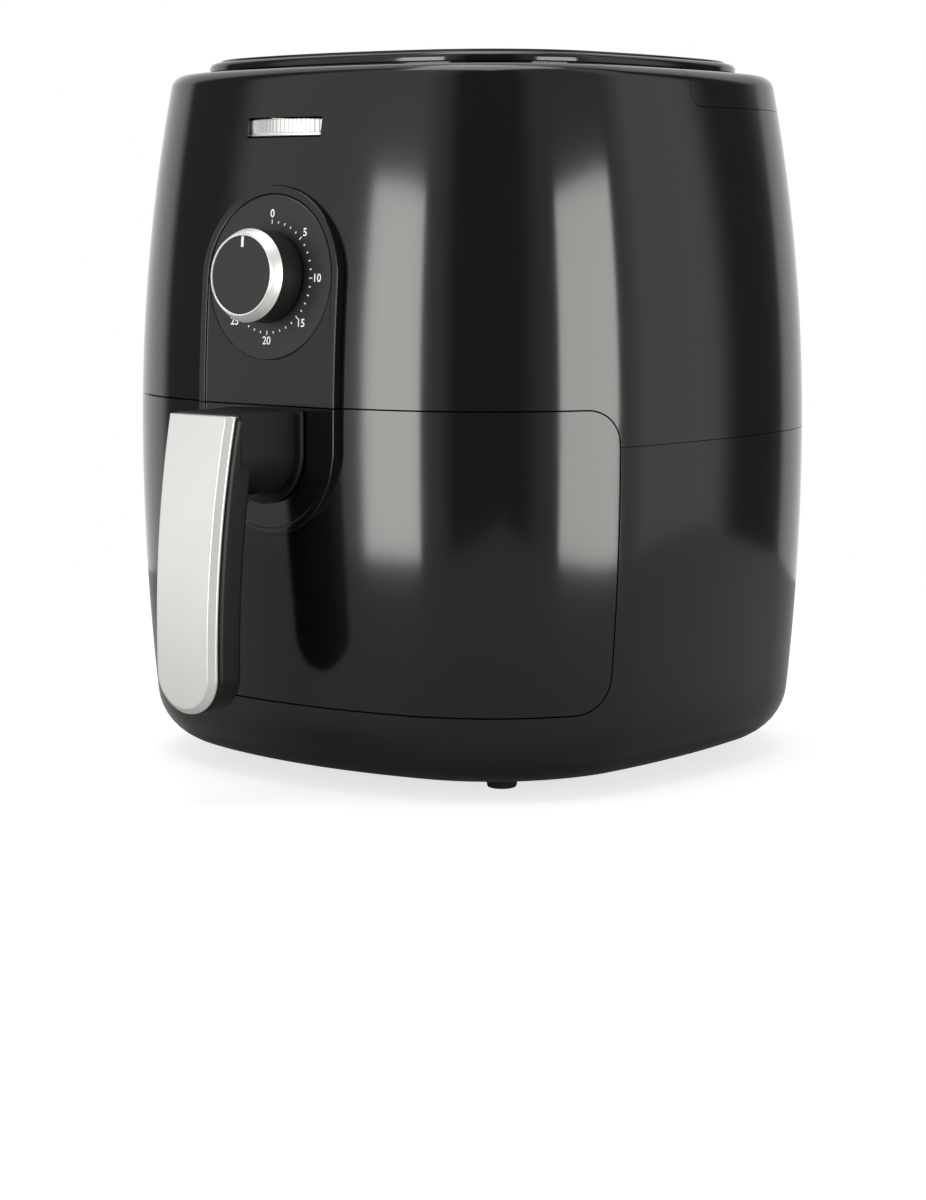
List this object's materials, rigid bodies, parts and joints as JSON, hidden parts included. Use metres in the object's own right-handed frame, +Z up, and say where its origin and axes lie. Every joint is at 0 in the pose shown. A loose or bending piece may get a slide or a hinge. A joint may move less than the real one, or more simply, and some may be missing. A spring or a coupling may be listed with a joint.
{
  "type": "air fryer",
  "caption": "Basket air fryer with a bowed gloss-black housing, pull-out drawer with pan and crisper plate, timer knob and temperature thumbwheel.",
  "frame": {"origin": "Floor level, at the middle of the overall box in plan; the housing's own axis stands 27.1 mm behind it.", "axes": "+Z up, -Y is the front with the handle and the controls, +X is the right side of someone facing the rear, the machine's left-right symmetry plane is X = 0."},
  "size_m": [0.29, 0.3442, 0.328],
  "materials": {
    "gloss_black_abs": "high gloss moulded ABS, piano black",
    "lid_gloss_black": "high gloss printed panel, left bare",
    "satin_black_abs": "fine satin moulded ABS",
    "matt_black_abs": "matt moulded ABS",
    "satin_silver_plate": "satin silver plated ABS",
    "rubber_black": "matt rubber",
    "nonstick_coating": "matt non-stick coating on steel",
    "galvanised_steel": "galvanised sheet, satin",
    "aluminised_steel": "aluminised sheet, satin",
    "steel": "zinc plated, satin",
    "laminated_steel": "stacked laminations",
    "element_sheath": "heat-tinted tube sheath",
    "copper": "enamelled copper",
    "brass": "turned brass",
    "phenolic_tan": "moulded phenolic",
    "nylon_black": "glass-filled nylon",
    "ceramic": "unglazed steatite",
    "red_plastic": "gloss moulded"
  },
  "bodies": {
    "housing": {"upper_housing": "gloss_black_abs", "lower_housing": "gloss_black_abs", "base_cover": "matt_black_abs", "rubber_feet": "rubber_black", "top_cover": "gloss_black_abs", "lid_panel": "lid_gloss_black", "control_fascia": "gloss_black_abs", "dial_plate": "satin_black_abs", "timer_body": "phenolic_tan", "timer_bracket": "galvanised_steel", "timer_bell": "aluminised_steel", "thermostat_body": "phenolic_tan", "thermostat_bracket": "galvanised_steel", "thermostat_capillary": "copper", "rear_vent_grille": "matt_black_abs", "exhaust_duct": "galvanised_steel", "bay_plate": "galvanised_steel", "cavity_liner": "galvanised_steel", "bay_frame": "galvanised_steel", "drawer_rails": "galvanised_steel", "bay_screws": "steel", "heater_hood": "aluminised_steel", "heating_element": "element_sheath", "element_clips": "aluminised_steel", "element_guard": "steel", "motor_bracket": "galvanised_steel", "motor_stator": "laminated_steel", "motor_coil": "copper", "motor_bearings": "steel", "thermal_fuse": "ceramic", "terminal_block": "ceramic", "door_switch": "matt_black_abs", "cord_gland": "matt_black_abs"},
    "timer_knob": {"timer_knob": "satin_black_abs", "knob_ring": "satin_silver_plate", "knob_cap": "satin_black_abs", "timer_spindle": "steel"},
    "temperature_wheel": {"temperature_wheel": "satin_silver_plate", "thermostat_spindle": "steel"},
    "fan_shaft": {"hot_fan": "aluminised_steel", "fan_nut": "brass", "motor_shaft": "steel", "cooling_fan": "nylon_black", "motor_rotor": "laminated_steel"},
    "switch_plunger": {"switch_plunger": "red_plastic"},
    "drawer": {"drawer_front": "gloss_black_abs", "drawer_inner_panel": "matt_black_abs", "drawer_flange": "matt_black_abs", "handle_body": "satin_black_abs", "handle_insert": "satin_silver_plate", "handle_screws": "steel", "pan": "nonstick_coating", "pan_strap": "galvanised_steel"},
    "crisper": {"crisper_plate": "nonstick_coating", "crisper_pads": "rubber_black"}
  },
  "joints": [
    {"name": "drawer_slide", "type": "slide", "parent": "housing", "child": "drawer", "axis": [0, -1, 0], "range_m": [0, 0.25]},
    {"name": "crisper_lift", "type": "slide", "parent": "drawer", "child": "crisper", "axis": [0, 0, 1], "range_m": [0, 0.085]},
    {"name": "timer_turn", "type": "hinge", "parent": "housing", "child": "timer_knob", "pos_m": [0, -0.11485, 0.228], "axis": [0, 0.9969, -0.0785], "range_deg": [0, 270]},
    {"name": "temperature_turn", "type": "hinge", "parent": "housing", "child": "temperature_wheel", "pos_m": [0, -0.06254, 0.2942], "axis": [0, 0, 1], "range_deg": [0, 270]},
    {"name": "fan_spin", "type": "hinge", "parent": "housing", "child": "fan_shaft", "pos_m": [0, 0.0271, 0.25], "axis": [0, 0, 1], "continuous": true},
    {"name": "switch_travel", "type": "slide", "parent": "housing", "child": "switch_plunger", "axis": [0, -1, 0], "range_m": [0, 0.003]}
  ],
  "couplings": [
    {"joint": "switch_travel", "follows": "drawer_slide", "ratio": 0.012}
  ]
}
